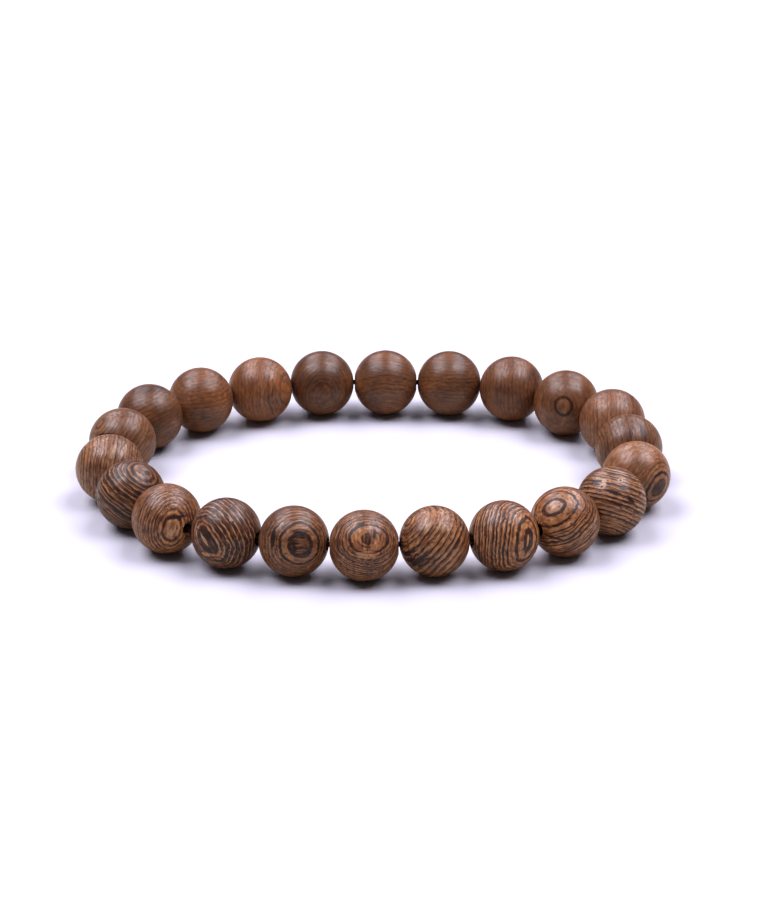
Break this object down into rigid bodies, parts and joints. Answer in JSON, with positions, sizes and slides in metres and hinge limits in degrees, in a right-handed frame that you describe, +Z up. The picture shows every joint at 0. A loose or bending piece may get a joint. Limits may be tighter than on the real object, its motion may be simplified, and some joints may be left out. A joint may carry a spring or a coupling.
{
  "type": "wooden bead bracelet",
  "caption": "Stretch bracelet of round turned wooden beads drilled through and strung on a hidden elastic thread, lying flat as a slightly oval closed loop.",
  "frame": {"origin": "on the table under the middle of the loop: the centre of the bounding box in plan, at its lowest point", "axes": "+Z up, across the loop; +X along the long way of the oval; -Y is the side nearest the viewer in the picture"},
  "size_m": [0.0694, 0.0548, 0.008],
  "materials": {
    "wenge_light": "satin",
    "wenge_mid": "satin",
    "wenge_dark": "satin",
    "elastic": "smooth"
  },
  "bodies": {
    "root": {"bead_01": "wenge_light", "bead_02": "wenge_dark", "bead_03": "wenge_mid", "bead_04": "wenge_light", "bead_05": "wenge_light", "bead_06": "wenge_mid", "bead_07": "wenge_light", "bead_08": "wenge_mid", "bead_09": "wenge_light", "bead_10": "wenge_mid", "bead_11": "wenge_light", "bead_12": "wenge_mid", "bead_13": "wenge_mid", "bead_14": "wenge_mid", "bead_15": "wenge_mid", "bead_16": "wenge_dark", "bead_17": "wenge_light", "bead_18": "wenge_mid", "bead_19": "wenge_mid", "bead_20": "wenge_light", "bead_21": "wenge_light", "bead_22": "wenge_dark", "elastic_thread": "elastic"}
  },
  "joints": []
}
